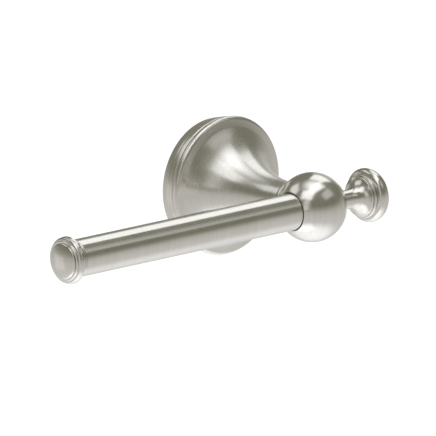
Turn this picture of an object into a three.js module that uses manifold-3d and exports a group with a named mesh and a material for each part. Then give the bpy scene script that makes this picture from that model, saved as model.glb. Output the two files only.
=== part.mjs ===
// Single-post toilet paper holder in brushed nickel: a flared round escutcheon on a hidden wall bracket,
// a ball hub that pivots on the end of its neck, a plain tube arm with a stepped end cap, and a
// bell-and-knob finial.
//
// Millimetres, +Z up. The wall is the plane y = 0, the post runs out along -Y and the arm runs along X,
// with its free end towards -X. The origin is the middle of the bracket's back, on the wall and on the
// post's axis.

import * as THREE from 'three';
import { mergeVertices } from 'three/addons/utils/BufferGeometryUtils.js';
import Module from 'manifold-3d';

// ---- Driving dimensions ----

const GAP = 0.3; // clearance kept between pieces that touch
const OVERRUN = 1; // how far a cutting tool runs past the face it opens

const BALL_Y = 68; // ball centre to wall
const BALL_R = 16;
const TUBE_R = 8.6;
const TUBE_BORE_R = 7.4;
const TUBE_END_X = -145.3; // free end of the bare tube
const TUBE_ROOT_X = 6.7; // end of the tube inside the ball

const BRACKET_R = 24;
const BRACKET_PLATE = 2.8; // thickness of its back plate
const BRACKET_DEPTH = 10; // height of its rim off the wall
const BRACKET_RIM = 3.2; // thickness of its rim
const SCREW_SPREAD = 13; // each wall screw above or below the post's axis
const SCREW_HOLE_R = 2.5;

const BASE_BACK_R = 29.7; // base ring at the wall
const BASE_R = 31.4; // base ring at its lip
const BASE_BORE_R = 27;
const BASE_FACE = 8.2; // front face of the base ring, off the wall
const SET_SCREW_Y = 4.6;
const SET_SCREW_R = 2;

const BEAD_R = 2; // section of the trumpet's front bead
const BEAD_CREST_R = 32.2; // the escutcheon at its widest
const BEAD_Y = 10.4; // middle of the bead, off the wall
const FLARE_R = 32.3; // where the flare would end, past the bead
const FLARE_Y = 11.55; // and how far off the wall
const FLARE_SHARE = 0.85; // share of the flare from the neck to the blend into the bead
const NECK_R = 8.9;
const NECK_Y = 49.25; // where the flare has run out into the straight neck
const NECK_END = 52.4; // front face of the neck
const FLARE_POWER = 1.74; // exponent of the superellipse that the flare follows
const SHELL = 2; // wall of the trumpet
const SPIGOT_R = 26.7; // ring behind the trumpet that centres it in the base ring
const SPIGOT_BORE_R = 24.6;
const SPIGOT_Y = 6.9;
const NECK_WALL = 4; // end wall of the neck, which the pivot bolt runs through

const PIVOT_R = 3; // shank of the pivot bolt
const PIVOT_HEAD_R = 5;
const BUSH_BORE_R = 3.3;
const BUSH_R = 4;
const BUSH_INSET = 0.1; // bush short of the neck's end wall at each face
const NYLON_WASHER_R = 6.3;
const NYLON_WASHER_T = 0.9;
const SPRING_WASHER_R = 5.6;
const SPRING_WASHER_T = 1;
const COLLAR_R = 9.5;
const COLLAR_T = 2.1;
const STOP_PIN_R = 1;
const STOP_PIN_OFFSET = 6.6; // stop pin off the post's axis
const STOP_SLOT_DEPTH = 2.4;
const STOP_PIN_ROOT = 3; // how deep the pin sits in the ball
const LIFT = Math.PI / 2; // how far the arm lifts

const STUD_R = 2.4; // screwed studs of the end cap and of the finial
const STUD_BORE_R = 2.8;

const SEGMENTS_LARGE = 40;
const SEGMENTS_MEDIUM = 28;
const SEGMENTS_SMALL = 16;
const SEGMENTS_FINE_TRIM = 12;

// ---- Materials ----

const finish = (color, roughness, metalness) => () =>
  new THREE.MeshStandardMaterial({ color, roughness, metalness });
const metal = (color, roughness) => finish(color, roughness, 1);
const plastic = (color) => finish(color, 0.6, 0);

const NICKEL = metal(0xb8b4aa, 0.32);
const ZINC = metal(0x9fa2a4, 0.5);
const STEEL = metal(0x8d9094, 0.35);
const BRASS = metal(0xb59a58, 0.35);
const NYLON = plastic(0xe6e3da);
const ANCHOR = plastic(0x8f9498);

// ---- Helpers ----

const wasm = await Module();
wasm.setup();

/** Turns a closed geometry into a solid for cutting and joining. */
function solid(geometry) {
  const bare = geometry.clone();
  bare.deleteAttribute('normal');
  bare.deleteAttribute('uv');
  const merged = mergeVertices(bare);
  const corners = merged.index.array;
  const kept = [];
  for (let i = 0; i < corners.length; i += 3) {
    const [a, b, c] = corners.slice(i, i + 3);
    if (a !== b && b !== c && c !== a) kept.push(a, b, c);
  }
  const vertProperties = merged.attributes.position.array;
  return new wasm.Manifold(new wasm.Mesh({ numProp: 3, vertProperties, triVerts: new Uint32Array(kept) }));
}

/** Turns a solid back into a geometry. */
function geometryOf(body) {
  const mesh = body.getMesh();
  const geometry = new THREE.BufferGeometry();
  geometry.setAttribute('position', new THREE.BufferAttribute(mesh.vertProperties, 3));
  geometry.setIndex(new THREE.BufferAttribute(mesh.triVerts, 1));
  geometry.computeVertexNormals();
  return geometry;
}

/** Takes each tool away from a blank. */
function cut(blank, ...tools) {
  return geometryOf(tools.reduce((body, tool) => body.subtract(solid(tool)), solid(blank)));
}

/** Revolves a closed profile of [radius, height] points about Y, with its faces pointing out. */
function turned(points, segments) {
  const profile = points.map(([r, h]) => new THREE.Vector2(r, h));
  if (THREE.ShapeUtils.area(profile) < 0) profile.reverse();
  return new THREE.LatheGeometry(profile, segments);
}

/** Revolves [radius, distance from the wall] points about the post's axis. */
const turnedOnPost = (points, segments) => turned(points.map(([r, out]) => [r, -out]), segments);

/** Revolves [radius, x] points about the arm's axis. */
const turnedOnArm = (points, segments) =>
  turned(points, segments).rotateZ(-Math.PI / 2).translate(0, -BALL_Y, 0);

/** A round bar along Y between two distances from the wall. */
function barOnPost(r, from, to, segments = SEGMENTS_SMALL) {
  return new THREE.CylinderGeometry(r, r, Math.abs(to - from), segments).translate(0, -(from + to) / 2, 0);
}

/** A round bar along the arm's axis between two x values. */
function barOnArm(r, from, to, segments = SEGMENTS_SMALL) {
  const bar = new THREE.CylinderGeometry(r, r, Math.abs(to - from), segments);
  return bar.rotateZ(Math.PI / 2).translate((from + to) / 2, -BALL_Y, 0);
}

/** Points of a round arc in profile coordinates, from one angle to another in degrees. */
function arc(centreR, centreH, radius, from, to, steps) {
  return Array.from({ length: steps + 1 }, (_, i) => {
    const angle = THREE.MathUtils.degToRad(from + ((to - from) * i) / steps);
    return [centreR + radius * Math.cos(angle), centreH + radius * Math.sin(angle)];
  });
}

/** Closes a ring's profile on its own first point. */
const ring = (points) => [...points, points[0]];

/** Closes a profile that is given from one end of the axis to the other. */
const onAxis = (points) => [[0, points[0][1]], ...points, [0, points.at(-1)[1]]];

/** A plain tube or washer on the post, between two distances from the wall. */
const sleeveOnPost = (boreR, outerR, from, to) =>
  turnedOnPost(ring([[boreR, to], [outerR, to], [outerR, from], [boreR, from]]), SEGMENTS_SMALL);

/** A plain tube or washer on the arm's axis, between two x values. */
const sleeveOnArm = (boreR, outerR, from, to, segments = SEGMENTS_SMALL) =>
  turnedOnArm(ring([[boreR, from], [outerR, from], [outerR, to], [boreR, to]]), segments);

const group = new THREE.Group();

/** Adds one named piece. */
function add(name, geometry, material) {
  const mesh = new THREE.Mesh(geometry, material());
  mesh.name = name;
  group.add(mesh);
  return mesh;
}

// ---- Wall bracket and its fixings ----

/** Round cup: a plate against the wall with a rim that the escutcheon slides over. */
function wallBracket() {
  const innerR = BRACKET_R - BRACKET_RIM;
  const chamfer = 0.8;
  const cup = turnedOnPost(
    onAxis([
      [innerR, BRACKET_PLATE],
      [innerR, BRACKET_DEPTH],
      [BRACKET_R - chamfer, BRACKET_DEPTH],
      [BRACKET_R, BRACKET_DEPTH - chamfer],
      [BRACKET_R, 0],
    ]),
    SEGMENTS_LARGE,
  );
  const holes = [SCREW_SPREAD, -SCREW_SPREAD].map((z) =>
    barOnPost(SCREW_HOLE_R, -OVERRUN, BRACKET_PLATE + OVERRUN).translate(0, 0, z),
  );
  return cut(cup, ...holes);
}

/** Pan-head wood screw with a cross recess, its threads drawn as rings. */
function wallScrew() {
  const underHead = BRACKET_PLATE + GAP;
  const headR = 4;
  const headH = 2.4;
  const coreR = 1.6;
  const threadR = 2.1;
  const threadStart = -3;
  const threadPitch = 2;
  const threads = 6;
  const tip = -19.5;
  const thread = Array.from({ length: threads }, (_, i) => {
    const out = threadStart - i * threadPitch;
    return [[coreR, out], [threadR, out - threadPitch / 2]];
  }).flat();
  const blank = turnedOnPost(
    onAxis([
      [headR * 0.55, underHead + headH],
      [headR * 0.85, underHead + headH * 0.8],
      [headR, underHead + headH * 0.35],
      [headR, underHead],
      [coreR, underHead],
      ...thread,
      [coreR, threadStart - threads * threadPitch],
      [0.2, tip],
    ]),
    SEGMENTS_FINE_TRIM,
  );
  const recessDepth = 1.5;
  const blade = [0.9, 4.2]; // width and length of one arm of the cross
  const recess = [blade, [...blade].reverse()].map(([x, z]) =>
    new THREE.BoxGeometry(x, 2 * recessDepth, z).translate(0, -(underHead + headH), 0),
  );
  return cut(blank, ...recess);
}

/** Ribbed plastic plug sunk in the wall behind each screw. */
function wallAnchor() {
  const boreR = 2.5;
  const lipR = 5;
  const lip = 0.9;
  const bodyR = 3.5;
  const ribR = 4;
  const ribs = 5;
  const ribPitch = 3.4;
  const end = -19;
  const barbs = Array.from({ length: ribs }, (_, i) => {
    const out = -GAP - lip - i * ribPitch;
    return [[bodyR, out], [ribR, out - ribPitch * 0.8]];
  }).flat();
  return turnedOnPost(
    ring([[boreR, end], [bodyR, end], ...barbs.reverse(), [lipR, -GAP - lip], [lipR, -GAP], [boreR, -GAP]]),
    SEGMENTS_FINE_TRIM,
  );
}

add('wall_bracket', wallBracket(), ZINC);
for (const [place, z] of [['upper', SCREW_SPREAD], ['lower', -SCREW_SPREAD]]) {
  add(`wall_screw_${place}`, wallScrew(), STEEL).position.z = z;
  add(`wall_anchor_${place}`, wallAnchor(), ANCHOR).position.z = z;
}

// ---- Escutcheon ----

/** Rear band with a lip at its front, drilled underneath for the set screw. */
function escutcheonBase() {
  const creaseY = 5.4;
  const lipY = 6.4;
  const lipStep = 0.4;
  const rollR = 0.8;
  const faceR = BASE_R - 0.9;
  const band = turnedOnPost(
    ring([
      [BASE_BORE_R, 0],
      [BASE_BORE_R, BASE_FACE],
      [faceR, BASE_FACE],
      ...arc(BASE_R - rollR, BASE_FACE - rollR, rollR, 65, 0, 3),
      [BASE_R, lipY],
      [BASE_R - lipStep, creaseY],
      [BASE_BACK_R, 0],
    ]),
    SEGMENTS_LARGE,
  );
  const drillR = SET_SCREW_R + GAP;
  const drillLength = 2 * (BASE_R - BASE_BORE_R);
  const drill = new THREE.CylinderGeometry(drillR, drillR, drillLength, SEGMENTS_SMALL);
  return cut(band, drill.rotateX(Math.PI / 2).translate(0, -SET_SCREW_Y, -(BASE_R + BASE_BORE_R) / 2));
}

/** Radius and distance from the wall along the flare, from the neck (0) to past the bead (1). */
function flarePoint(t) {
  const angle = (t * Math.PI) / 2;
  const rise = 1 - Math.cos(angle) ** (2 / FLARE_POWER);
  const run = Math.sin(angle) ** (2 / FLARE_POWER);
  return [NECK_R + (FLARE_R - NECK_R) * rise, NECK_Y - (NECK_Y - FLARE_Y) * run];
}

/** Points along the flare between two shares of it. */
const flare = (from, to, steps) =>
  Array.from({ length: steps + 1 }, (_, i) => flarePoint((from * (steps - i) + to * i) / steps));

/** Trumpet shell: front bead, flare and neck, open at the wall, with a bored wall closing the neck. */
function escutcheonTrumpet() {
  const outside = flare(FLARE_SHARE, 0, 11);
  const liningStart = 0.06; // shares of the flare that the shell's inside follows
  const liningEnd = 0.74;
  const liningShift = 0.4;
  const inside = flare(liningStart, liningEnd, 5).map(([r, out]) => [r - SHELL, out - liningShift]);
  const boreR = NECK_R - SHELL;
  const pocketEnd = NECK_END - NECK_WALL;
  const beadFootR = BEAD_CREST_R - 1.5;
  const shell = turnedOnPost(
    ring([
      [SPIGOT_R, SPIGOT_Y],
      [SPIGOT_R, BASE_FACE + GAP],
      [beadFootR, BASE_FACE + GAP],
      ...arc(BEAD_CREST_R - BEAD_R, BEAD_Y, BEAD_R, -70, 74, 6),
      ...outside,
      [NECK_R, NECK_END],
      [BUSH_R + GAP, NECK_END],
      [BUSH_R + GAP, pocketEnd],
      [boreR, pocketEnd],
      ...inside,
      [SPIGOT_BORE_R, FLARE_Y],
      [SPIGOT_BORE_R, SPIGOT_Y],
    ]),
    SEGMENTS_LARGE,
  );
  return cut(shell, stopSlot());
}

/** Arc-shaped cutter for the slot that the stop pin swings in, from the top round to +X. */
function stopSlot() {
  const halfWidth = STOP_PIN_R + GAP;
  const play = 2 * Math.asin(halfWidth / 2 / STOP_PIN_OFFSET);
  const start = Math.PI / 2 - LIFT - play;
  const end = Math.PI / 2 + play;
  const shape = new THREE.Shape();
  shape.absarc(0, 0, STOP_PIN_OFFSET + halfWidth, start, end, false);
  shape.absarc(0, 0, STOP_PIN_OFFSET - halfWidth, end, start, true);
  shape.closePath();
  const depth = STOP_SLOT_DEPTH + OVERRUN;
  const slot = new THREE.ExtrudeGeometry(shape, { depth, bevelEnabled: false, curveSegments: 8 });
  return slot.rotateX(Math.PI / 2).translate(0, -NECK_END + STOP_SLOT_DEPTH, 0);
}

/** Socket-head grub screw under the base ring, which locks it on the bracket's rim. */
function setScrew() {
  const tipZ = -(BRACKET_R + GAP);
  const length = 5.6;
  const chamfer = 0.5;
  const socketR = 1.15;
  const socketDepth = 2.4;
  const blank = turned(
    onAxis([
      [SET_SCREW_R - chamfer, tipZ - length],
      [SET_SCREW_R, tipZ - length + chamfer],
      [SET_SCREW_R, tipZ - chamfer],
      [SET_SCREW_R - chamfer, tipZ],
    ]),
    SEGMENTS_SMALL,
  );
  const socket = new THREE.CylinderGeometry(socketR, socketR, 2 * socketDepth, 6);
  const screw = cut(blank, socket.translate(0, tipZ - length, 0));
  return screw.rotateX(Math.PI / 2).translate(0, -SET_SCREW_Y, 0);
}

add('escutcheon_base', escutcheonBase(), NICKEL);
add('escutcheon_trumpet', escutcheonTrumpet(), NICKEL);
add('escutcheon_set_screw', setScrew(), STEEL);

// ---- Pivot between neck and ball ----

const BALL_FLAT = BALL_Y - NECK_END - COLLAR_T - 2 * GAP; // flat on the ball, off its centre
const NYLON_Y = NECK_END - NECK_WALL - GAP;
const SPRING_Y = NYLON_Y - NYLON_WASHER_T - GAP;

/** Shoulder bolt from inside the neck into the ball, its tip locking the tube. */
function pivotBolt() {
  const underHead = SPRING_Y - SPRING_WASHER_T - GAP;
  const headH = 3;
  const tip = BALL_Y - TUBE_BORE_R + GAP;
  const blank = turnedOnPost(
    onAxis([
      [PIVOT_HEAD_R, underHead - headH],
      [PIVOT_HEAD_R, underHead],
      [PIVOT_R, underHead],
      [PIVOT_R, tip],
    ]),
    SEGMENTS_SMALL,
  );
  const socketR = 2;
  const socketDepth = 2;
  const socket = new THREE.CylinderGeometry(socketR, socketR, 2 * socketDepth, 6);
  return cut(blank, socket.translate(0, -(underHead - headH), 0));
}

/** Fine rounded ring that shows between neck and ball, drilled for the stop pin. */
function neckCollar() {
  const back = NECK_END + GAP;
  const round = COLLAR_T / 2;
  const body = turnedOnPost(
    ring([
      [BUSH_BORE_R, back],
      [COLLAR_R - round, back],
      ...arc(COLLAR_R - round, back + round, round, -70, 70, 4),
      [COLLAR_R - round, back + COLLAR_T],
      [BUSH_BORE_R, back + COLLAR_T],
    ]),
    SEGMENTS_MEDIUM,
  );
  const drill = barOnPost(STOP_PIN_R + GAP, back - OVERRUN, back + COLLAR_T + OVERRUN);
  return cut(body, drill.translate(0, 0, STOP_PIN_OFFSET));
}

/** Pin in the back of the ball that meets the ends of the neck's slot. */
function stopPin() {
  const root = BALL_Y - BALL_FLAT + STOP_PIN_ROOT;
  return barOnPost(STOP_PIN_R, NECK_END - STOP_SLOT_DEPTH + GAP, root).translate(0, 0, STOP_PIN_OFFSET);
}

const bush = sleeveOnPost(BUSH_BORE_R, BUSH_R, NECK_END - NECK_WALL + BUSH_INSET, NECK_END - BUSH_INSET);
const nylonWasher = sleeveOnPost(BUSH_BORE_R, NYLON_WASHER_R, NYLON_Y - NYLON_WASHER_T, NYLON_Y);
const springWasher = sleeveOnPost(BUSH_BORE_R, SPRING_WASHER_R, SPRING_Y - SPRING_WASHER_T, SPRING_Y);
add('pivot_bush', bush, BRASS);
add('pivot_nylon_washer', nylonWasher, NYLON);
add('pivot_spring_washer', springWasher, STEEL);
add('pivot_bolt', pivotBolt(), STEEL);
add('neck_collar', neckCollar(), NICKEL);
add('stop_pin', stopPin(), STEEL);

// ---- Ball hub and arm ----

const FINIAL_SEAT_X = 14.9; // spot face on the ball under the finial
const FINIAL_SEAT_R = 4.9;

/** Ball with a bore for the tube, flats for the collar and the finial, and holes for bolt, pin and stud. */
function ballHub() {
  const ball = new THREE.SphereGeometry(BALL_R, SEGMENTS_LARGE, SEGMENTS_LARGE / 2);
  const backFlat = new THREE.BoxGeometry(2 * BALL_R, BALL_R, 2 * BALL_R);
  const back = BALL_Y - BALL_R - OVERRUN;
  const pinEnd = BALL_Y - BALL_FLAT + STOP_PIN_ROOT + GAP;
  const right = BALL_R + OVERRUN;
  return cut(
    ball.translate(0, -BALL_Y, 0),
    backFlat.translate(0, -BALL_Y + BALL_FLAT + BALL_R / 2, 0),
    barOnArm(TUBE_R + GAP, -right, TUBE_ROOT_X + GAP, SEGMENTS_MEDIUM),
    barOnPost(PIVOT_R + GAP, back, BALL_Y),
    barOnPost(STOP_PIN_R + GAP, back, pinEnd).translate(0, 0, STOP_PIN_OFFSET),
    barOnArm(FINIAL_SEAT_R, FINIAL_SEAT_X, right),
    barOnArm(STUD_BORE_R, 0, right),
  );
}

/** Arm tube with the hole that the pivot bolt's tip sits in. */
function armTube() {
  const tube = sleeveOnArm(TUBE_BORE_R, TUBE_R, TUBE_END_X, TUBE_ROOT_X, SEGMENTS_MEDIUM);
  return cut(tube, barOnPost(PIVOT_R + GAP, BALL_Y - TUBE_R - OVERRUN, BALL_Y));
}

/** Threaded plug inside the tube's free end. */
function armEndPlug() {
  const length = 12;
  const from = TUBE_END_X + GAP;
  return sleeveOnArm(STUD_BORE_R, TUBE_BORE_R - GAP, from, from + length);
}

add('ball_hub', ballHub(), NICKEL);
add('arm_tube', armTube(), NICKEL);
add('arm_end_plug', armEndPlug(), BRASS);

// ---- End cap on the arm's free end ----

const COLLAR_X = TUBE_END_X - GAP; // each piece starts here and runs to -X
const END_COLLAR_T = 2.3;
const BEAD_X = COLLAR_X - END_COLLAR_T - GAP;
const BEAD_T = 3.2;
const STEP_T = 0.8; // fine step in front of the bead
const BUTTON_X = BEAD_X - BEAD_T - STEP_T - GAP;

/** Loose ring with two fine ridges against the end of the tube. */
function endCollar() {
  const ridge = END_COLLAR_T / 4;
  return turnedOnArm(
    ring([
      [STUD_BORE_R, COLLAR_X - 4 * ridge],
      ...[9, 9.3, 8.9, 9.1, 8.8].map((r, i) => [r, COLLAR_X - (4 - i) * ridge]),
      [STUD_BORE_R, COLLAR_X],
    ]),
    SEGMENTS_MEDIUM,
  );
}

/** Rounded bead, the widest ring of the end cap, with a fine step in front. */
function endBead() {
  const round = 1.3;
  const crestR = 10.85;
  const stepR = 9.3;
  const stepChamfer = 0.3;
  const front = BEAD_X - BEAD_T - STEP_T;
  return turnedOnArm(
    ring([
      [STUD_BORE_R, front],
      [stepR - stepChamfer, front],
      [stepR, front + STEP_T / 2],
      [stepR, BEAD_X - BEAD_T],
      ...arc(crestR - round, BEAD_X - BEAD_T + round, round, -90, 0, 3),
      ...arc(crestR - round, BEAD_X - round, round, 0, 90, 3),
      [STUD_BORE_R, BEAD_X],
    ]),
    SEGMENTS_MEDIUM,
  );
}

/** Shallow domed button, bored from behind for its stud. */
function endButton() {
  const rimR = 8.2;
  const faceR = rimR - 0.45;
  const thickness = 2.2;
  const dome = 1.6;
  const chamfer = 0.35;
  const boreDepth = 1.3;
  const front = BUTTON_X - thickness;
  const crown = [0, 0.25, 0.5, 0.75, 1].map((t) => [faceR * t, front + dome * t ** 2]);
  return turnedOnArm(
    [
      ...crown,
      [rimR, front + dome + chamfer],
      [rimR, BUTTON_X],
      [STUD_BORE_R, BUTTON_X],
      [STUD_BORE_R, BUTTON_X - boreDepth],
      [0, BUTTON_X - boreDepth],
    ],
    SEGMENTS_MEDIUM,
  );
}

/** Screwed stud from inside the button into the tube's plug. */
function endStud() {
  const inButton = 1;
  const inPlug = 10;
  return barOnArm(STUD_R, BUTTON_X - inButton, TUBE_END_X + inPlug);
}

add('end_collar', endCollar(), NICKEL);
add('end_bead', endBead(), NICKEL);
add('end_button', endButton(), NICKEL);
add('end_stud', endStud(), STEEL);

// ---- Finial on the ball's right ----

const WASHER_X = FINIAL_SEAT_X + GAP;
const WASHER_T = 0.6;
const WASHER_R = 4.2;
const STEM_X = WASHER_X + WASHER_T + GAP;
const STEM_R = 4.4;
const BELL_END = 29.9;
const RING_X = BELL_END + GAP;
const RING_T = 1.2;
const KNOB_X = RING_X + RING_T + GAP;
const FINIAL_END = 39.4;
const FINIAL_BORE_DEPTH = 3.4;

/** Thin stem that flares into a bell cup. */
function finialBell() {
  const cupR = 9.4;
  const flareX = STEM_X + 5.5;
  const rimX = BELL_END - 0.8;
  const tightness = 1.15;
  const opening = THREE.MathUtils.degToRad(58); // how far round its curve the cup goes
  const steps = 8;
  const cup = Array.from({ length: steps + 1 }, (_, i) => {
    const angle = (i / steps) * opening;
    const rise = ((1 - Math.cos(angle)) / (1 - Math.cos(opening))) ** tightness;
    const run = Math.sin(angle) / Math.sin(opening);
    return [STEM_R + (cupR - STEM_R) * rise, flareX + (rimX - flareX) * run];
  });
  return turnedOnArm(
    ring([[STUD_BORE_R, STEM_X], [STEM_R, STEM_X], ...cup, [cupR, BELL_END], [STUD_BORE_R, BELL_END]]),
    SEGMENTS_MEDIUM,
  );
}

/** Stepped ring between bell and knob. */
function finialRing() {
  const crestR = 10.2;
  const footR = 9.7;
  const bevel = 0.4;
  const end = RING_X + RING_T;
  return turnedOnArm(
    ring([
      [STUD_BORE_R, RING_X],
      [footR, RING_X],
      [crestR, RING_X + bevel],
      [crestR, end - bevel],
      [footR, end],
      [STUD_BORE_R, end],
    ]),
    SEGMENTS_MEDIUM,
  );
}

/** Rounded disc knob with a shallow domed end, bored from behind for its stud. */
function finialKnob() {
  const knobR = 12.5;
  const footR = 9.9;
  const round = 2.4;
  const crestX = KNOB_X + round;
  const faceR = 8.6;
  const shoulderLength = 4.6;
  const shoulder = [20, 40, 60, 78].map((degrees) => {
    const angle = THREE.MathUtils.degToRad(degrees);
    return [faceR + (knobR - faceR) * Math.cos(angle), crestX + shoulderLength * Math.sin(angle)];
  });
  const domeR = 5;
  const domeRise = 0.2;
  const boreEnd = KNOB_X + FINIAL_BORE_DEPTH;
  return turnedOnArm(
    [
      [0, boreEnd],
      [STUD_BORE_R, boreEnd],
      [STUD_BORE_R, KNOB_X],
      [footR, KNOB_X],
      ...arc(knobR - round, crestX, round, -85, 0, 4),
      ...shoulder,
      [domeR, FINIAL_END - domeRise],
      [0, FINIAL_END],
    ],
    SEGMENTS_MEDIUM,
  );
}

/** Screwed stud from inside the ball, through the bell and the ring, into the knob. */
function finialStud() {
  const inBall = FINIAL_SEAT_X - 7.3;
  return barOnArm(STUD_R, inBall, KNOB_X + FINIAL_BORE_DEPTH - GAP);
}

add('finial_washer', sleeveOnArm(STUD_BORE_R, WASHER_R, WASHER_X, WASHER_X + WASHER_T), NYLON);
add('finial_bell', finialBell(), NICKEL);
add('finial_ring', finialRing(), NICKEL);
add('finial_knob', finialKnob(), NICKEL);
add('finial_stud', finialStud(), STEEL);

export default group;
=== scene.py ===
"""Single-post toilet paper holder in satin nickel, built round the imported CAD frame.

Metres, +Z up, wall at y = 0. The post runs out along -Y and the arm lies along X. Every turned piece is
drawn as an outline of (radius, position) points in millimetres and revolved about the post or the arm.
"""
import math

import bmesh
import bpy
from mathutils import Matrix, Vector


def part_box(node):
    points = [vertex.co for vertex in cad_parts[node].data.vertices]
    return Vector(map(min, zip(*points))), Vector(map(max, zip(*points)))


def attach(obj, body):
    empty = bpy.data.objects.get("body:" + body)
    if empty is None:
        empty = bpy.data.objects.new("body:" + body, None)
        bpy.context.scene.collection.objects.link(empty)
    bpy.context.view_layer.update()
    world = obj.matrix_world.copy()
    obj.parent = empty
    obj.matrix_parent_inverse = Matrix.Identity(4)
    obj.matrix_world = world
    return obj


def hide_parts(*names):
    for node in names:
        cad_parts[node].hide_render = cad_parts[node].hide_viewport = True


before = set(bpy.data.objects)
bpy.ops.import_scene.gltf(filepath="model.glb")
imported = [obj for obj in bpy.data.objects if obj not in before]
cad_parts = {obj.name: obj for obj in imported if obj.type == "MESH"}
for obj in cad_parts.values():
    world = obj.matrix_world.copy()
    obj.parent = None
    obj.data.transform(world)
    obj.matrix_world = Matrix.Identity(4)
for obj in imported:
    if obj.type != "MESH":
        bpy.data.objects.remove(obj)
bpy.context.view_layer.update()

MM = 0.001
ROUND = 160  # segments round the large turned pieces
ROUND_SMALL = 64
ROUND_THREAD = 32
TINY = 1e-6


# ---- Sizes read from the frame, in millimetres ----

def reach(node, axis):
    """Lowest and highest coordinate of a CAD node along an axis."""
    low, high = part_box(node)
    return low["xyz".index(axis)] / MM, high["xyz".index(axis)] / MM


def out(node):
    """Distances from the wall at which a CAD node starts and ends."""
    low, high = reach(node, "y")
    return -high, -low


def radius(node, axis="z"):
    """Half of a CAD node's size along an axis."""
    low, high = reach(node, axis)
    return (high - low) / 2


GAP = 0.3  # clearance that the CAD keeps between pieces that touch
SEAM = 0.06  # what shows of the parting between two pieces
LIP_SLOPE = 0.1  # how much wider a lip that closes a seam is at its foot
TUBE_WALL = 1.2
STUD_PLAY = 0.4  # room round a stud in its bore
CUT_PAST = 1  # how far a cutting tool reaches past what it cuts
BALL_R = radius("ball_hub")
BALL_OUT = out("ball_hub")[1] - BALL_R
TUBE_R = radius("arm_tube")
TUBE_END, TUBE_ROOT = reach("arm_tube", "x")
TUBE_BORE_R = TUBE_R - TUBE_WALL
BASE_R = radius("escutcheon_base")
BASE_FACE = out("escutcheon_base")[1]
NECK_END = out("escutcheon_trumpet")[1]
SPIGOT_OUT = out("escutcheon_trumpet")[0]
STUD_BORE_R = radius("end_stud") + STUD_PLAY
BOLT_SHANK_R = 3
BOLT_BORE_R = BOLT_SHANK_R + GAP
PIN_R = radius("stop_pin", "x")
PIN_Z = reach("stop_pin", "z")[0] + PIN_R


# ---- Outlines ----

def arc(centre_r, centre_h, size, start, end, steps=10):
    """Points of a round arc, between two angles in degrees from the outward radius."""
    angles = [math.radians(start + (end - start) * i / steps) for i in range(steps + 1)]
    return [(centre_r + size * math.cos(a), centre_h + size * math.sin(a)) for a in angles]


def ramp(start, end, steps):
    """Evenly spaced points on a straight line, without the last one."""
    (r0, h0), (r1, h1) = start, end
    return [(r0 + (r1 - r0) * i / steps, h0 + (h1 - h0) * i / steps) for i in range(steps)]


def soften(outline, size, sharp=25, steps=3):
    """Rounds every corner of a closed outline that is off the axis and turns by sharp degrees or more."""
    most = 0.45  # share of an edge that one rounding may take
    soft = []
    count = len(outline)
    for i, corner in enumerate(outline):
        here = Vector(corner)
        back = Vector(outline[i - 1]) - here
        ahead = Vector(outline[(i + 1) % count]) - here
        if here.x < TINY or back.length < TINY or ahead.length < TINY:
            soft.append(corner)
            continue
        turn = 180 - math.degrees(back.angle(ahead))
        if turn < sharp:
            soft.append(corner)
            continue
        start = here + back.normalized() * min(size, back.length * most)
        end = here + ahead.normalized() * min(size, ahead.length * most)
        for k in range(steps + 1):
            t = k / steps
            point = start * (1 - t) ** 2 + here * 2 * t * (1 - t) + end * t ** 2
            soft.append((point.x, point.y))
    return soft


# ---- Mesh building ----

def on_post(r, h, angle):
    """A point at a radius and a distance from the wall, round the post's axis."""
    return Vector((r * math.cos(angle), -h, r * math.sin(angle))) * MM


def on_arm(r, h, angle):
    """A point at a radius and an x, round the arm's axis."""
    return Vector((h, -BALL_OUT + r * math.cos(angle), r * math.sin(angle))) * MM


def to_object(name, mesh):
    """Puts a finished bmesh into the scene as an object."""
    data = bpy.data.meshes.new(name)
    mesh.to_mesh(data)
    mesh.free()
    made = bpy.data.objects.new(name, data)
    bpy.context.scene.collection.objects.link(made)
    return made


def turned(name, outline, place, segments=ROUND, thread=None):
    """Revolves a closed outline. thread(r, h, turn) gives the radius of a screwed piece."""
    mesh = bmesh.new()
    rings = []
    for r, h in outline:
        if r < TINY:
            rings.append([mesh.verts.new(place(0, h, 0))] * segments)
            continue
        ring = []
        for s in range(segments):
            turn = s / segments
            size = thread(r, h, turn) if thread else r
            ring.append(mesh.verts.new(place(size, h, turn * math.tau)))
        rings.append(ring)
    for i, ring in enumerate(rings):
        following = rings[(i + 1) % len(rings)]
        for s in range(segments):
            t = (s + 1) % segments
            corners = [ring[s], ring[t], following[t], following[s]]
            face = list(dict.fromkeys(corners))
            if len(face) > 2:
                mesh.faces.new(face)
    bmesh.ops.recalc_face_normals(mesh, faces=mesh.faces)
    return to_object(name, mesh)


def bar(place, r, start, end, segments=ROUND_SMALL):
    """A plain round tool for cutting."""
    return turned("tool", [(0, start), (r, start), (r, end), (0, end)], place, segments)


def block(low, high):
    """A plain box tool for cutting, between two corners in millimetres."""
    mesh = bmesh.new()
    bmesh.ops.create_cube(mesh, size=1)
    low, high = Vector(low) * MM, Vector(high) * MM
    for vert in mesh.verts:
        vert.co = [low[i] + (vert.co[i] + 0.5) * (high[i] - low[i]) for i in range(3)]
    return to_object("tool", mesh)


def shift(tool, x=0, y=0, z=0):
    """Moves a cutting tool by millimetres."""
    for vert in tool.data.vertices:
        vert.co += Vector((x, y, z)) * MM
    return tool


def cut(piece, *tools):
    """Takes each tool away from a piece."""
    for tool in tools:
        step = piece.modifiers.new("cut", "BOOLEAN")
        step.operation = "DIFFERENCE"
        step.solver = "EXACT"
        step.object = tool
    graph = bpy.context.evaluated_depsgraph_get()
    made = bpy.data.meshes.new_from_object(piece.evaluated_get(graph))
    piece.modifiers.clear()
    piece.data = made
    for tool in tools:
        bpy.data.objects.remove(tool)
    return piece


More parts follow.
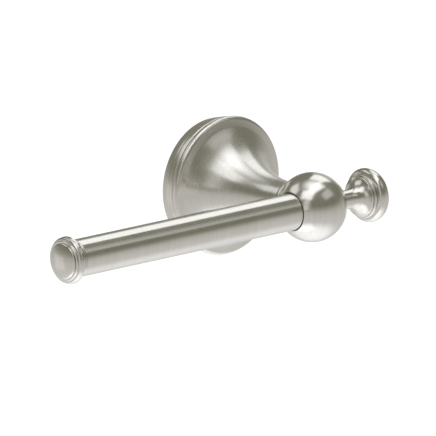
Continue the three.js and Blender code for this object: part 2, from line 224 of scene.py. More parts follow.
def finish_piece(piece, body, nodes, material, crease=32):
    """Shades a piece, gives it its body and its material, and hides the CAD nodes that it stands for."""
    piece.data.shade_smooth()
    piece.data.set_sharp_from_angle(angle=math.radians(crease))
    piece.data.materials.clear()
    piece.data.materials.append(material)
    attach(piece, body)
    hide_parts(*nodes)
    return piece


def screwed(pitch, depth, first, last):
    """Radius of a thread of V-shaped turns between two positions, fading in over a turn at each end."""
    def size(r, h, turn):
        fade = min(1, max(0, min(h - first, last - h) / pitch))
        wave = (h / pitch - turn) % 1
        return r - depth * fade * abs(2 * wave - 1)
    return size


# ---- Materials ----

def node(tree, kind, **values):
    """Adds a shader node and sets its inputs by name, with spaces written as underscores."""
    made = tree.nodes.new("ShaderNode" + kind)
    for key, value in values.items():
        made.inputs[key.replace("_", " ")].default_value = value
    return made


def link(tree, source, target):
    """Joins a node's output to another node's input."""
    tree.links.new(source, target)


def scaled(tree, scale):
    """Object coordinates in metres, stretched along each axis."""
    coordinates = node(tree, "TexCoord")
    mapping = node(tree, "Mapping", Scale=scale)
    link(tree, coordinates.outputs["Object"], mapping.inputs["Vector"])
    return mapping.outputs["Vector"]


def noise(tree, scale, detail=4, roughness=0.5):
    """A noise pattern with its own stretch along each axis, in repeats per metre."""
    pattern = node(tree, "TexNoise", Scale=1, Detail=detail, Roughness=roughness)
    link(tree, scaled(tree, scale), pattern.inputs["Vector"])
    return pattern.outputs["Fac"]


def remap(tree, value, low, high, start=0.3, end=0.7):
    """Spreads a pattern's middle range between two values."""
    spread = node(tree, "MapRange", From_Min=start, From_Max=end, To_Min=low, To_Max=high)
    link(tree, value, spread.inputs["Value"])
    return spread.outputs["Result"]


def total(tree, first, second):
    """Adds a value or a plain number to a value."""
    both = tree.nodes.new("ShaderNodeMath")
    both.operation = "ADD"
    link(tree, first, both.inputs[0])
    if isinstance(second, float):
        both.inputs[1].default_value = second
    else:
        link(tree, second, both.inputs[1])
    return both.outputs[0]


def tint(tree, factor, low, high):
    """Mixes two colours by a factor."""
    ramp_node = tree.nodes.new("ShaderNodeValToRGB")
    ramp_node.color_ramp.elements[0].color = (*low, 1)
    ramp_node.color_ramp.elements[1].color = (*high, 1)
    link(tree, factor, ramp_node.inputs["Fac"])
    return ramp_node.outputs["Color"]


def blank_material(name, metallic):
    """A material with nothing but its shader. Returns it with its node tree and the shader."""
    material = bpy.data.materials.new(name)
    material.use_nodes = True
    tree = material.node_tree
    tree.nodes.clear()
    shader = node(tree, "BsdfPrincipled")
    shader.inputs["Metallic"].default_value = metallic
    surface = tree.nodes.new("ShaderNodeOutputMaterial")
    link(tree, shader.outputs["BSDF"], surface.inputs["Surface"])
    return material, tree, shader


def grain_scale(axis, fine, coarse):
    """Repeats per metre for lines that run round an axis: fine along it, coarse across it."""
    return tuple(fine if letter == axis else coarse for letter in "XYZ")


def turned_metal(name, axis, dark, light, rough, spread, anisotropy, bump):
    """Metal with fine lines that run round an axis, soft smudges and brighter worn edges."""
    line_size, band_size, smudge_size = (9000, 120), (900, 30), (60, 60, 60)  # repeats per metre
    bump_depth = 0.00002
    quarter_turn = 0.25
    material, tree, shader = blank_material(name, 1)
    lines = noise(tree, grain_scale(axis, *line_size), detail=3, roughness=0.6)
    bands = noise(tree, grain_scale(axis, *band_size), detail=2)
    smudges = noise(tree, smudge_size, detail=3)
    edges = tree.nodes.new("ShaderNodeNewGeometry").outputs["Pointiness"]
    worn = remap(tree, edges, 0.0, 0.25, start=0.52, end=0.6)
    tone = total(tree, remap(tree, bands, 0.0, 0.5), remap(tree, smudges, 0.0, 0.5))
    link(tree, tint(tree, total(tree, tone, worn), dark, light), shader.inputs["Base Color"])
    streaks = remap(tree, lines, -spread, spread)
    clouds = remap(tree, smudges, -spread / 2, spread / 2)
    value = total(tree, total(tree, streaks, clouds), rough)
    link(tree, value, shader.inputs["Roughness"])
    relief = node(tree, "Bump", Strength=bump, Distance=bump_depth)
    link(tree, lines, relief.inputs["Height"])
    link(tree, relief.outputs["Normal"], shader.inputs["Normal"])
    shader.inputs["Anisotropic"].default_value = anisotropy
    shader.inputs["Anisotropic Rotation"].default_value = quarter_turn
    tangent = tree.nodes.new("ShaderNodeTangent")
    tangent.direction_type = "RADIAL"
    tangent.axis = axis
    link(tree, tangent.outputs["Tangent"], shader.inputs["Tangent"])
    return material


def moulded_plastic(name, dark, light, rough):
    """Matt plastic with faint mottling and a fine texture."""
    mottle_size, texture_size = (900, 900, 900), (6000, 6000, 6000)  # repeats per metre
    spread, bump, bump_depth = 0.08, 0.25, 0.00004
    material, tree, shader = blank_material(name, 0)
    mottle = noise(tree, mottle_size, detail=4)
    texture = noise(tree, texture_size, detail=2)
    link(tree, tint(tree, remap(tree, mottle, 0.0, 1.0), dark, light), shader.inputs["Base Color"])
    value = total(tree, remap(tree, texture, -spread, spread), rough)
    link(tree, value, shader.inputs["Roughness"])
    relief = node(tree, "Bump", Strength=bump, Distance=bump_depth)
    link(tree, texture, relief.inputs["Height"])
    link(tree, relief.outputs["Normal"], shader.inputs["Normal"])
    return material


NICKEL_DARK = (0.64, 0.615, 0.575)
NICKEL_LIGHT = (0.70, 0.675, 0.635)


def nickel(axis, rough):
    """Satin nickel of the visible pieces, with its lines round an axis."""
    return turned_metal(f"satin_nickel_{axis}", axis, NICKEL_DARK, NICKEL_LIGHT,
                        rough, spread=0.04, anisotropy=0.5, bump=0.08)


def steel(axis):
    return turned_metal(f"turned_steel_{axis}", axis, (0.36, 0.37, 0.38), (0.58, 0.58, 0.58),
                        rough=0.34, spread=0.08, anisotropy=0.3, bump=0.3)


def zinc(axis):
    return turned_metal(f"zinc_plate_{axis}", axis, (0.5, 0.52, 0.52), (0.7, 0.71, 0.69),
                        rough=0.42, spread=0.1, anisotropy=0.2, bump=0.35)


def brass_turned(axis):
    return turned_metal(f"turned_brass_{axis}", axis, (0.58, 0.42, 0.16), (0.8, 0.62, 0.3),
                        rough=0.3, spread=0.08, anisotropy=0.3, bump=0.3)


NICKEL_POST = nickel("Y", rough=0.27)
NICKEL_ARM = nickel("X", rough=0.2)
STEEL_POST = steel("Y")
STEEL_ARM = steel("X")
STEEL_UPRIGHT = steel("Z")
ZINC = zinc("Y")
BRASS_POST = brass_turned("Y")
BRASS_ARM = brass_turned("X")
NYLON = moulded_plastic("natural_nylon", (0.74, 0.72, 0.66), (0.86, 0.85, 0.8), rough=0.45)
ANCHOR = moulded_plastic("anchor_plastic", (0.34, 0.36, 0.38), (0.47, 0.49, 0.51), rough=0.55)


# ---- Wall bracket, screws and plugs ----

SCREW_SPREAD = reach("wall_screw_upper", "z")[1] - radius("wall_screw_upper")


def make_bracket():
    """Pressed cup with a rolled rim and two holes with shallow dimples for the screws."""
    rim_r = radius("wall_bracket")
    depth = out("wall_bracket")[1]
    wall, plate = 3.2, 2.8
    turn_up, turn_up_rise = 3, 0.5  # where the plate meets the wall
    rim_seat, middle_seat_r = 4, 13.6  # parts of the back that lie on the wall
    relief, relief_edge = 0.3, 0.4
    dimple_r, dimple, dimple_past = 5.2, 0.6, 0.01
    hole_r = 2.5
    inner_r, seat_r = rim_r - wall, rim_r - rim_seat
    cup = turned("bracket_cup", soften([
        (0, plate), (inner_r - turn_up, plate), (inner_r, plate + turn_up_rise), (inner_r, depth),
        (rim_r, depth), (rim_r, 0), (seat_r, 0), (seat_r - relief_edge, relief),
        (middle_seat_r + relief_edge, relief), (middle_seat_r, 0), (0, 0),
    ], 0.7), on_post)
    drill = [(0, -CUT_PAST), (hole_r, -CUT_PAST), (hole_r, plate - dimple), (dimple_r, plate + dimple_past)]
    drill += [(dimple_r, plate + CUT_PAST), (0, plate + CUT_PAST)]
    drills = [shift(turned("tool", drill, on_post, ROUND_SMALL), z=z) for z in (SCREW_SPREAD, -SCREW_SPREAD)]
    finish_piece(cut(cup, *drills), "wall_mount", ["wall_bracket"], ZINC)


def make_wall_screw(place_name, z):
    """Pan-head wood screw with a helical thread, a point and a cross recess."""
    node_name = f"wall_screw_{place_name}"
    tip, top = out(node_name)
    head, head_r, rounding = 2.4, radius(node_name), 2.2
    seat = top - head
    neck_r, neck = 1.9, 3
    crest, pitch, thread_depth, plain = 2.1, 1.9, 0.5, 1.5
    point, bow, steps = 3.5, 1.4, 14
    outline = [(0, top)] + arc(head_r - rounding, top - rounding, rounding, 90, 0)[1:] + [(head_r, seat)]
    outline += ramp((neck_r, seat), (crest, seat - neck), 4)
    outline += ramp((crest, seat - neck), (crest, tip + point), 96)
    for i in range(steps):
        t = i / steps
        outline.append((crest * (1 - t ** bow), tip + point * (1 - t)))
    outline.append((0, tip))
    thread = screwed(pitch, thread_depth, tip, seat - plain)
    screw = turned(f"screw_{place_name}", outline, on_post, ROUND_THREAD, thread=thread)
    shift(screw, z=z)
    blade, arm, deep = 0.45, 2.1, 1.5
    cross = []
    for a, b in ((blade, arm), (arm, blade)):
        cross.append(block((-a, -top - CUT_PAST, z - b), (a, -top + deep, z + b)))
    finish_piece(cut(screw, *cross), "wall_mount", [node_name], ZINC)


def make_anchor(place_name, z):
    """Ribbed plug, split along its length by a slot."""
    node_name = f"wall_anchor_{place_name}"
    end, lip_face = out(node_name)
    lip, lip_r, bore = 0.9, radius(node_name), 2.5
    ribs, pitch, first = 5, 3.4, 0.3
    root_r, crest_r, back_r, end_r = 3.5, 4, 3.9, 3.4
    crest_share, back_share = 0.75, 0.9  # places of a rib's crest and back along its pitch
    outline = [(bore, lip_face), (lip_r, lip_face), (lip_r, lip_face - lip)]
    for i in range(ribs):
        start = lip_face - lip - first - i * pitch
        crest, back = start - pitch * crest_share, start - pitch * back_share
        outline += [(root_r, start), (crest_r, crest), (back_r, back)]
    outline += [(end_r, end), (bore, end)]
    plug = turned(f"plug_{place_name}", soften(outline, 0.25), on_post, ROUND_SMALL)
    shift(plug, z=z)
    half, height = 0.5, 6
    front_left, end_left = 4, 2.5  # lengths that the slot leaves whole
    slot = block((-half, -lip_face + front_left, z - height), (half, -end - end_left, z + height))
    finish_piece(cut(plug, slot), "wall_mount", [node_name], ANCHOR)


make_bracket()
for place_name, z in (("upper", SCREW_SPREAD), ("lower", -SCREW_SPREAD)):
    make_wall_screw(place_name, z)
    make_anchor(place_name, z)


# ---- Escutcheon ----

FLARE_R, FLARE_OUT = 32.3, 11.55  # where the flare would end, past its bead
NECK_R, NECK_OUT = 8.9, 49.25  # where the flare has run out into the neck
FLARE_POWER = 1.74
FLARE_SHARE = 0.85  # share of the flare from the neck to the blend into the bead
BEAD_CREST_R = radius("escutcheon_trumpet")
BEAD_R, BEAD_OUT = 2, 10.4  # section of the front bead, and its middle off the wall
SET_SCREW_OUT = sum(out("escutcheon_set_screw")) / 2


def make_base():
    """Rear band that widens to a crease, a lip that turns down into a groove, and the set screw's hole."""
    bore, back_r = 27, 29.7
    crease, lip = 5.2, 6.1  # distances from the wall
    roll = 0.9
    front = BASE_FACE + GAP - SEAM
    foot_r, seam_r, face_r = BASE_R - 1.8, BASE_R - 1.6, BASE_R - 0.7
    band_r, bow, steps = BASE_R - 0.45, 1.3, 12
    outline = [(bore, 0), (bore, BASE_FACE), (foot_r, BASE_FACE), (seam_r, front), (face_r, front)]
    outline += arc(BASE_R - roll, front - roll, roll, 65, 0, 8)
    outline += [(BASE_R, lip + 0.3), (BASE_R - 0.15, lip)]
    outline += [(BASE_R - 0.5, crease + 0.4), (BASE_R - 0.55, crease)]
    for i in range(1, steps + 1):
        t = i / steps
        outline.append((band_r - (band_r - back_r) * t ** bow, crease * (1 - t)))
    ring = turned("base_ring", soften(outline, 0.15), on_post)
    drill_r = radius("escutcheon_set_screw", "x") + GAP
    half_length = 4
    drill = bar(on_post, drill_r, -half_length, half_length)
    for vert in drill.data.vertices:
        x, y, z = vert.co / MM
        vert.co = Vector((x, z - SET_SCREW_OUT, y - (BASE_R + bore) / 2)) * MM
    drill.data.flip_normals()  # swapping two axes has turned the tool inside out
    finish_piece(cut(ring, drill), "post", ["escutcheon_base"], NICKEL_POST)


def flare_point(t):
    """Radius and distance from the wall along the flare, from the neck (0) to past the bead (1)."""
    angle = t * math.pi / 2
    rise = 1 - math.cos(angle) ** (2 / FLARE_POWER)
    run = math.sin(angle) ** (2 / FLARE_POWER)
    return NECK_R + (FLARE_R - NECK_R) * rise, NECK_OUT - (NECK_OUT - FLARE_OUT) * run


def stop_slot():
    """Arc-shaped tool for the slot that the stop pin swings in."""
    half = PIN_R + GAP
    play = 2 * math.asin(half / 2 / PIN_Z)
    start, end = -play, math.pi / 2 + play
    depth, steps = 2.4, 24
    bottom, top = NECK_END - depth, NECK_END + CUT_PAST
    inner, outer = PIN_Z - half, PIN_Z + half
    mesh = bmesh.new()
    rows = []
    for i in range(steps + 1):
        angle = start + (end - start) * i / steps
        corners = [(inner, bottom), (outer, bottom), (outer, top), (inner, top)]
        rows.append([mesh.verts.new(on_post(r, h, angle)) for r, h in corners])
    for low, high in zip(rows, rows[1:]):
        for k in range(4):
            mesh.faces.new([low[k], low[(k + 1) % 4], high[(k + 1) % 4], high[k]])
    mesh.faces.new(rows[0])
    mesh.faces.new(rows[-1][::-1])
    bmesh.ops.recalc_face_normals(mesh, faces=mesh.faces)
    return to_object("tool", mesh)


def make_trumpet():
    """Front bead, flare and straight neck, hollow from behind, with a bored wall at the neck's end."""
    steps, lining_steps = 64, 20
    shell, shell_back = 2, 0.4  # how far the lining lies inside the flare, and behind it
    lining_start, lining_length = 0.06, 0.68  # shares of the flare
    spigot_r, spigot_bore = 26.7, 24.6
    bead_foot, bead_end = -70, 74  # degrees round the bead, from the base to the flare
    bead_inset = 1.5
    end_wall = 4
    bush_bore = radius("pivot_bush") + GAP
    pocket = NECK_END - end_wall
    foot = BASE_FACE + GAP
    outline = [(spigot_r, SPIGOT_OUT), (spigot_r, foot), (BEAD_CREST_R - bead_inset, foot)]
    outline += arc(BEAD_CREST_R - BEAD_R, BEAD_OUT, BEAD_R, bead_foot, bead_end, 30)
    outline += [flare_point(FLARE_SHARE * (1 - i / steps)) for i in range(steps)]
    outline += [(NECK_R, NECK_OUT), (NECK_R, NECK_END), (bush_bore, NECK_END), (bush_bore, pocket)]
    outline += [(NECK_R - shell, pocket)]
    for i in range(lining_steps + 1):
        r, h = flare_point(lining_start + lining_length * i / lining_steps)
        outline.append((r - shell, h - shell_back))
    outline += [(spigot_bore, FLARE_OUT), (spigot_bore, SPIGOT_OUT)]
    shell_piece = turned("trumpet", soften(outline, 0.2), on_post)
    finish_piece(cut(shell_piece, stop_slot()), "post", ["escutcheon_trumpet"], NICKEL_POST)


def hexagon(place, across, start, end):
    """Six-sided tool for a socket."""
    return bar(place, across / math.sqrt(3), start, end, segments=6)


def make_set_screw():
    """Grub screw with a thread, a cup point and a hexagon socket."""
    low, high = reach("escutcheon_set_screw", "z")
    size = radius("escutcheon_set_screw", "x")
    span = high - low
    chamfer, point = 0.5, 0.6
    face_r, point_r, cup_r = size - 0.6, size - 0.7, size - 1.2
    pitch, thread_depth, thread_start, thread_left = 0.7, 0.28, 0.2, 0.4
    socket, socket_depth = 2, 2.4
    outline = [(0, 0), (face_r, 0)] + ramp((size, chamfer), (size, span - point), 48)
    outline += [(point_r, span), (cup_r, span), (0, span - point)]
    thread = screwed(pitch, thread_depth, thread_start, span - thread_left)
    screw = turned("grub_screw", outline, on_post, ROUND_THREAD, thread=thread)
    screw = cut(screw, hexagon(on_post, socket, -CUT_PAST, socket_depth))
    for vert in screw.data.vertices:
        x, y, z = vert.co / MM
        vert.co = Vector((x, z - SET_SCREW_OUT, low - y)) * MM
    finish_piece(screw, "set_screw", ["escutcheon_set_screw"], STEEL_UPRIGHT)


make_base()
make_trumpet()
make_set_screw()


# ---- Pivot ----

def washer(name, node_name, place, body, material, inner, edge=0.15, span=out):
    """Turned ring with the bore, the size and the place of its CAD node."""
    start, end = span(node_name)
    outer = radius(node_name)
    outline = soften([(inner, start), (outer, start), (outer, end), (inner, end)], edge)
    return finish_piece(turned(name, outline, place, ROUND_SMALL), body, [node_name], material)


def along_arm(node_name):
    """Lowest and highest x of a CAD node."""
    return reach(node_name, "x")


def make_pivot():
    """Bush, washers and bolt that hold the ball on the neck."""
    bore = BOLT_BORE_R
    washer("bush", "pivot_bush", on_post, "post", BRASS_POST, bore)
    washer("nylon_disc", "pivot_nylon_washer", on_post, "post", NYLON, bore)
    washer("spring_disc", "pivot_spring_washer", on_post, "post", STEEL_POST, bore)
    start, end = out("pivot_bolt")
    head, head_r, chamfer = 3, radius("pivot_bolt"), 0.4
    pitch, thread_depth, tip, tip_chamfer = 1, 0.35, 1, 0.6
    socket, socket_depth = 3.6, 2
    seat = start + head
    plain_end, thread_start = seat + 4, seat + 5.5
    outline = [(0, start), (head_r - chamfer, start), (head_r, start + chamfer), (head_r, seat)]
    outline += [(BOLT_SHANK_R, seat), (BOLT_SHANK_R, plain_end)]
    outline += ramp((BOLT_SHANK_R, thread_start), (BOLT_SHANK_R, end - tip), 72)
    outline += [(BOLT_SHANK_R - tip_chamfer, end), (0, end)]
    thread = screwed(pitch, thread_depth, thread_start, end)
    bolt = turned("bolt", soften(outline, 0.15, sharp=40), on_post, ROUND_THREAD, thread=thread)
    bolt = cut(bolt, hexagon(on_post, socket, start - CUT_PAST, start + socket_depth))
    finish_piece(bolt, "arm", ["pivot_bolt"], STEEL_POST)


def make_collar():
    """Fine ring between neck and ball with a rounded edge and a groove at each side of it."""
    start, end = out("neck_collar")
    size = radius("neck_collar")
    crown_r, groove = 0.8, 0.15
    edge_r = size - 0.9
    outline = [(BOLT_BORE_R, start), (edge_r, start), (edge_r, start + groove)]
    outline += arc(size - crown_r, (start + end) / 2, crown_r, -80, 80, 12)
    outline += [(edge_r, end - groove), (edge_r, end), (BOLT_BORE_R, end)]
    ring = turned("neck_ring", outline, on_post)
    hole = shift(bar(on_post, PIN_R + GAP, start - CUT_PAST, end + CUT_PAST), z=PIN_Z)
    finish_piece(cut(ring, hole), "arm", ["neck_collar"], NICKEL_POST)


def make_stop_pin():
    """Dowel pin with rounded ends."""
    start, end = out("stop_pin")
    rounding = 0.35
    outline = soften([(0, start), (PIN_R, start), (PIN_R, end), (0, end)], rounding, steps=5)
    pin = shift(turned("dowel", outline, on_post, ROUND_SMALL), z=PIN_Z)
    finish_piece(pin, "arm", ["stop_pin"], STEEL_POST)


make_pivot()
make_collar()
make_stop_pin()


# ---- Ball, tube and plug ----

SEAT_X = reach("finial_washer", "x")[0] - GAP


def make_ball():
    """Ball turned on the arm's axis, with its bores, seats and holes."""
    bore = TUBE_R + GAP
    mouth = math.degrees(math.acos(bore / BALL_R))
    seat_r = 4.9
    seat = math.degrees(math.acos(seat_r / BALL_R))
    outline = [(STUD_BORE_R, SEAT_X), (seat_r, SEAT_X)]
    outline += arc(0, 0, BALL_R, seat, -mouth, 110)
    outline += [(bore, TUBE_ROOT + GAP), (STUD_BORE_R, TUBE_ROOT + GAP)]
    ball = turned("ball", soften(outline, 0.25), on_arm)
    back = out("ball_hub")[0]
    behind = 8  # depth of the block that cuts the flat back
    tools = [
        bar(on_post, BOLT_BORE_R, back - CUT_PAST, BALL_OUT),
        shift(bar(on_post, PIN_R + GAP, back - CUT_PAST, out("stop_pin")[1] + GAP), z=PIN_Z),
        block((-BALL_R, -back, -BALL_R), (BALL_R, -back + behind, BALL_R)),
    ]
    finish_piece(cut(ball, *tools), "arm", ["ball_hub"], NICKEL_ARM)


def make_tube():
    """Round tube with eased ends and a hole for the pivot bolt's tip."""
    margin = 0.5
    outline = [(TUBE_BORE_R, TUBE_END), (TUBE_R, TUBE_END)]
    outline += ramp((TUBE_R, TUBE_END + margin), (TUBE_R, TUBE_ROOT - margin), 24)
    outline += [(TUBE_R, TUBE_ROOT), (TUBE_BORE_R, TUBE_ROOT)]
    tube = turned("tube", soften(outline, 0.25), on_arm)
    hole = bar(on_post, BOLT_BORE_R, BALL_OUT - TUBE_R - CUT_PAST, BALL_OUT)
    finish_piece(cut(tube, hole), "arm", ["arm_tube"], NICKEL_ARM)


def stud(name, node_name, body):
    """Fully threaded stud with chamfered ends."""
    start, end = reach(node_name, "x")
    size = radius(node_name)
    chamfer, pitch, thread_depth = 0.5, 0.8, 0.35
    outline = [(0, start), (size - chamfer, start)]
    outline += ramp((size, start + chamfer), (size, end - chamfer), 150)
    outline += [(size, end - chamfer), (size - chamfer, end), (0, end)]
    thread = screwed(pitch, thread_depth, start, end)
    piece = turned(name, outline, on_arm, ROUND_THREAD, thread=thread)
    finish_piece(piece, body, [node_name], STEEL_ARM)


make_ball()
make_tube()
washer("tube_plug", "arm_end_plug", on_arm, "arm", BRASS_ARM, STUD_BORE_R, 0.3, span=along_arm)


# ---- End cap ----

LIP_R = 8  # inner radius of the lips that close the end cap's seams


def make_end_collar():
    """Loose ring with two fine ridges."""
    low, high = reach("end_collar", "x")
    quarter = (high - low) / 4
    lip = high + GAP - SEAM
    edge_r, valley_r, step_r = 8.9, 8.85, 8.6
    ridge_r, first_r, second_r = 0.5, 8.75, 8.65
    outline = [(STUD_BORE_R, low), (edge_r, low)]
    outline += arc(first_r, low + 1.05 * quarter, ridge_r, -70, 70, 8)
    outline += [(valley_r, high - 2 * quarter)]
    outline += arc(second_r, high - 0.95 * quarter, ridge_r, -70, 70, 8)
    outline += [(step_r, lip), (LIP_R, lip), (LIP_R - LIP_SLOPE, high), (STUD_BORE_R, high)]
    ring = turned("cap_collar", outline, on_arm)
    finish_piece(ring, "end_spacer", ["end_collar"], NICKEL_ARM)


def make_end_bead():
    """Rounded bead parted by a fine groove, with a step in front."""
    low, high = reach("end_bead", "x")
    crest = radius("end_bead")
    step_r, step, chamfer = 9.3, 0.8, 0.35
    front_round, front_inset, back_round = 1.1, 0.25, 1.2
    front = low + step
    groove = front + 1.25
    lip = high + GAP - SEAM
    outline = [(STUD_BORE_R, low), (step_r - chamfer, low), (step_r, low + chamfer), (step_r - 0.1, front)]
    outline += arc(crest - front_round - front_inset, front + front_round, front_round, -80, -8, 8)
    outline += [(crest - 0.28, groove - 0.12), (crest - 0.42, groove), (crest - 0.2, groove + 0.14)]
    outline += arc(crest - back_round, lip - back_round, back_round, 8, 88, 8)
    outline += [(LIP_R, lip), (LIP_R - LIP_SLOPE, high), (STUD_BORE_R, high)]
    bead = turned("cap_bead", soften(outline, 0.12), on_arm)
    finish_piece(bead, "end_cap", ["end_bead"], NICKEL_ARM)


def make_end_button():
    """Domed disc with a chamfered rim, bored from behind."""
    low, high = reach("end_button", "x")
    size = radius("end_button")
    dome, face_r, chamfer, steps = 1.6, size - 0.45, 0.35, 18
    lip_r = size - 0.8
    bore_end = high - 1.3
    lip = high + GAP - SEAM
    outline = [(face_r * i / steps, low + dome * (i / steps) ** 2) for i in range(steps + 1)]
    outline += [(size, low + dome + chamfer), (size, lip), (lip_r, lip), (lip_r - LIP_SLOPE, high)]
    outline += [(STUD_BORE_R, high), (STUD_BORE_R, bore_end), (0, bore_end)]
    button = turned("cap_button", soften(outline, 0.12), on_arm)
    finish_piece(button, "end_cap", ["end_button"], NICKEL_ARM)


make_end_collar()
make_end_bead()
make_end_button()
stud("cap_stud", "end_stud", "end_cap")


# ---- Finial ----

def make_bell():
    """Thin stem that flares into a cup."""
    low, high = reach("finial_bell", "x")
    stem, cup = 4.4, radius("finial_bell")
    flare_x, rim_x = low + 5.5, high - 0.8
    opening, bow, steps = math.radians(58), 1.15, 36
    outline = [(STUD_BORE_R, low), (stem, low), (stem, low + 1), (stem, flare_x)]
    for i in range(1, steps + 1):
        angle = opening * i / steps
        rise = ((1 - math.cos(angle)) / (1 - math.cos(opening))) ** bow
        run = math.sin(angle) / math.sin(opening)
        outline.append((stem + (cup - stem) * rise, flare_x + (rim_x - flare_x) * run))
    outline += [(cup, high), (STUD_BORE_R, high)]
    bell = turned("finial_cup", soften(outline, 0.2), on_arm)
    finish_piece(bell, "finial", ["finial_bell"], NICKEL_ARM)


def make_finial_ring():
    """Rounded ridge between the cup and the knob."""
    low, high = reach("finial_ring", "x")
    size = radius("finial_ring")
    lip = low - GAP + SEAM
    lip_r, edge_r, ridge_r = size - 1.3, size - 0.5, 0.55
    outline = [(STUD_BORE_R, low), (lip_r - LIP_SLOPE, low), (lip_r, lip), (edge_r, lip)]
    outline += arc(size - ridge_r, (low + high) / 2, ridge_r, -80, 80)
    outline += [(edge_r, high), (STUD_BORE_R, high)]
    ring = turned("finial_ridge", outline, on_arm)
    finish_piece(ring, "finial", ["finial_ring"], NICKEL_ARM)


def make_knob():
    """Rounded disc knob with a shallow domed face."""
    low, high = reach("finial_knob", "x")
    size = radius("finial_knob")
    round_r, lip_r, back_r = 2.4, 9, 9.9
    face_r, shoulder, sweep = 8.6, 4.6, 80
    shoulder_steps, face_steps = 24, 8
    crest, bore_end = low + round_r, low + 3.4
    lip = low - GAP + SEAM
    outline = [(0, bore_end), (STUD_BORE_R, bore_end), (STUD_BORE_R, low)]
    outline += [(lip_r - LIP_SLOPE, low), (lip_r, lip), (back_r, lip)]
    outline += arc(size - round_r, crest, round_r, -85, 0, 16)
    for i in range(1, shoulder_steps + 1):
        angle = math.radians(sweep * i / shoulder_steps)
        outline.append((face_r + (size - face_r) * math.cos(angle), crest + shoulder * math.sin(angle)))
    last_r, last_x = outline[-1]
    for i in range(1, face_steps):
        t = i / face_steps
        outline.append((last_r * (1 - t), last_x + (high - last_x) * (1 - (1 - t) ** 2)))
    outline.append((0, high))
    knob = turned("finial_head", outline, on_arm)
    finish_piece(knob, "finial", ["finial_knob"], NICKEL_ARM)


washer("finial_disc", "finial_washer", on_arm, "finial_spacer", NYLON, STUD_BORE_R, 0.1,
       span=along_arm)
make_bell()
make_finial_ring()
make_knob()
stud("finial_screw", "finial_stud", "finial")


# ---- Camera ----

AZIMUTH, ELEVATION = math.radians(-42.65), math.radians(13.65)
CAMERA_DISTANCE = 8.0
CAMERA_REACH = 160.0  # past the floor's edge
VIEW_WIDTH = 0.198
SENSOR = 36  # millimetres
BALL_CENTRE = Vector((0, -BALL_OUT * MM, 0))
VIEW_OFFSET = (0.04265, 0.00495)  # ball's centre right of and above the middle of the view


def make_camera():
    """Long lens at the photo's azimuth and elevation."""
    back = Vector((math.sin(AZIMUTH) * math.cos(ELEVATION), -math.cos(AZIMUTH) * math.cos(ELEVATION),
                   math.sin(ELEVATION)))
    right = Vector((math.cos(AZIMUTH), math.sin(AZIMUTH), 0))
    up = back.cross(right)
    data = bpy.data.cameras.new("camera")
    data.sensor_width = SENSOR
    data.lens = SENSOR * CAMERA_DISTANCE / VIEW_WIDTH
    data.clip_end = CAMERA_REACH
    camera = bpy.data.objects.new("camera", data)
    middle = BALL_CENTRE - right * VIEW_OFFSET[0] - up * VIEW_OFFSET[1]
    camera.location = middle + back * CAMERA_DISTANCE
    camera.rotation_mode = "QUATERNION"
    camera.rotation_quaternion = (-back).to_track_quat("-Z", "Y")
    bpy.context.scene.collection.objects.link(camera)
    bpy.context.scene.camera = camera


make_camera()


# ---- Studio ----

STUDIO_R = 3.0  # soft boxes to the object
FLOOR_DEPTH = 9.0  # floor below the object
FLOOR_HALF_WIDTH = 120.0
FLOOR_GLOW = 0.8
# elevation in degrees, and the colour of the studio's walls, ceiling and table seen there
SURROUND = [
    (-90, (1.5, 1.52, 1.56)), (-60, (1.3, 1.32, 1.35)), (-48, (1.0, 1.01, 1.02)), (-38, (0.76, 0.76, 0.76)),
    (-14, (0.67, 0.665, 0.65)), (-3, (0.56, 0.56, 0.53)), (6, (0.36, 0.36, 0.31)), (14, (0.24, 0.24, 0.19)),
    (60, (0.26, 0.26, 0.21)), (72, (0.8, 0.81, 0.82)), (82, (1.4, 1.43, 1.47)),
]
# name: azimuth from the front towards +X, elevation, width and height in degrees, radiance
SOFT_BOXES = {
    "left": (-66, 52, 36, 28, 1.2),
    "left_low": (-62, 20, 18, 32, 0.55),
    "front": (32, 42, 38, 22, 0.42),
    "right": (117, 48, 28, 34, 1.2),
    "back_left": (-145, 44, 34, 22, 0.8),
    "ceiling": (12, 76, 50, 24, 0.9),
    "right_low": (124, 8, 24, 44, 0.3),
    "low_left": (-80, -58, 50, 26, 0.4),
    "low_back": (-138, -14, 34, 24, 0.2),
}
SOFT_BOX_TINT = (0.97, 1.0, 1.05)


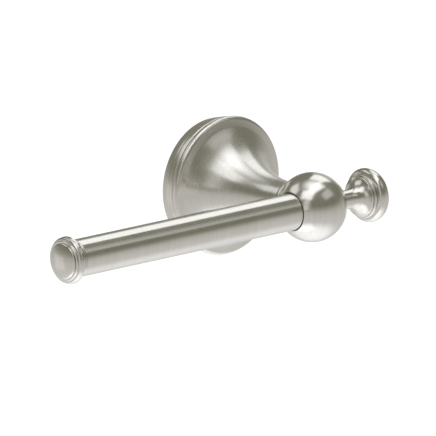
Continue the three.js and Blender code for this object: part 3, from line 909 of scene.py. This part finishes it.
def make_world():
    """Surround whose brightness depends on elevation, and plain white where the camera sees it."""
    world = bpy.data.worlds.new("studio")
    world.use_nodes = True
    tree = world.node_tree
    tree.nodes.clear()
    direction = node(tree, "TexCoord")
    split = node(tree, "SeparateXYZ")
    link(tree, direction.outputs["Generated"], split.inputs["Vector"])
    angle = tree.nodes.new("ShaderNodeMath")
    angle.operation = "ARCSINE"
    link(tree, split.outputs["Z"], angle.inputs[0])
    share = remap(tree, angle.outputs[0], 0.0, 1.0, -math.pi / 2, math.pi / 2)
    bands = tree.nodes.new("ShaderNodeValToRGB")
    stops = bands.color_ramp.elements
    stops.remove(stops[0])
    for i, (elevation, colour) in enumerate(SURROUND):
        stop = stops[0] if i == 0 else stops.new(1)
        stop.position = (elevation + 90) / 180
        stop.color = (*colour, 1)
    link(tree, share, bands.inputs["Fac"])
    walls = node(tree, "Background")
    link(tree, bands.outputs["Color"], walls.inputs["Color"])
    plain = node(tree, "Background", Color=(1, 1, 1, 1), Strength=1.0)
    path = tree.nodes.new("ShaderNodeLightPath")
    choice = tree.nodes.new("ShaderNodeMixShader")
    link(tree, path.outputs["Is Camera Ray"], choice.inputs["Fac"])
    link(tree, walls.outputs["Background"], choice.inputs[1])
    link(tree, plain.outputs["Background"], choice.inputs[2])
    surface = tree.nodes.new("ShaderNodeOutputWorld")
    link(tree, choice.outputs["Shader"], surface.inputs["Surface"])
    bpy.context.scene.world = world


def make_soft_box(name, azimuth, elevation, width, height, radiance):
    """Area light of a width and height in degrees, as seen from the ball."""
    a, e = math.radians(azimuth), math.radians(elevation)
    direction = Vector((math.sin(a) * math.cos(e), -math.cos(a) * math.cos(e), math.sin(e)))
    light = bpy.data.lights.new(f"box_{name}", "AREA")
    light.shape = "RECTANGLE"
    light.size = 2 * STUDIO_R * math.tan(math.radians(width / 2))
    light.size_y = 2 * STUDIO_R * math.tan(math.radians(height / 2))
    light.energy = radiance * math.pi * light.size * light.size_y
    light.color = SOFT_BOX_TINT
    box = bpy.data.objects.new(f"box_{name}", light)
    box.location = BALL_CENTRE + direction * STUDIO_R
    box.rotation_mode = "QUATERNION"
    box.rotation_quaternion = direction.to_track_quat("Z", "Y")
    box.visible_camera = False
    bpy.context.scene.collection.objects.link(box)


def make_floor():
    """Plain pale floor, bright enough to read as white, and low enough for most views from below."""
    mesh = bmesh.new()
    bmesh.ops.create_grid(mesh, x_segments=1, y_segments=1, size=FLOOR_HALF_WIDTH)
    floor = to_object("floor", mesh)
    floor.location.z = -FLOOR_DEPTH
    material, _, shader = blank_material("floor_white", 0)
    shader.inputs["Base Color"].default_value = (0.9, 0.9, 0.9, 1)
    shader.inputs["Roughness"].default_value = 0.8
    shader.inputs["Emission Color"].default_value = (1, 1, 1, 1)
    shader.inputs["Emission Strength"].default_value = FLOOR_GLOW
    floor.data.materials.append(material)
    floor.visible_glossy = False
    floor.visible_shadow = False


make_world()
for name, sizes in SOFT_BOXES.items():
    make_soft_box(name, *sizes)
make_floor()
bpy.context.scene.view_settings.view_transform = "Standard"
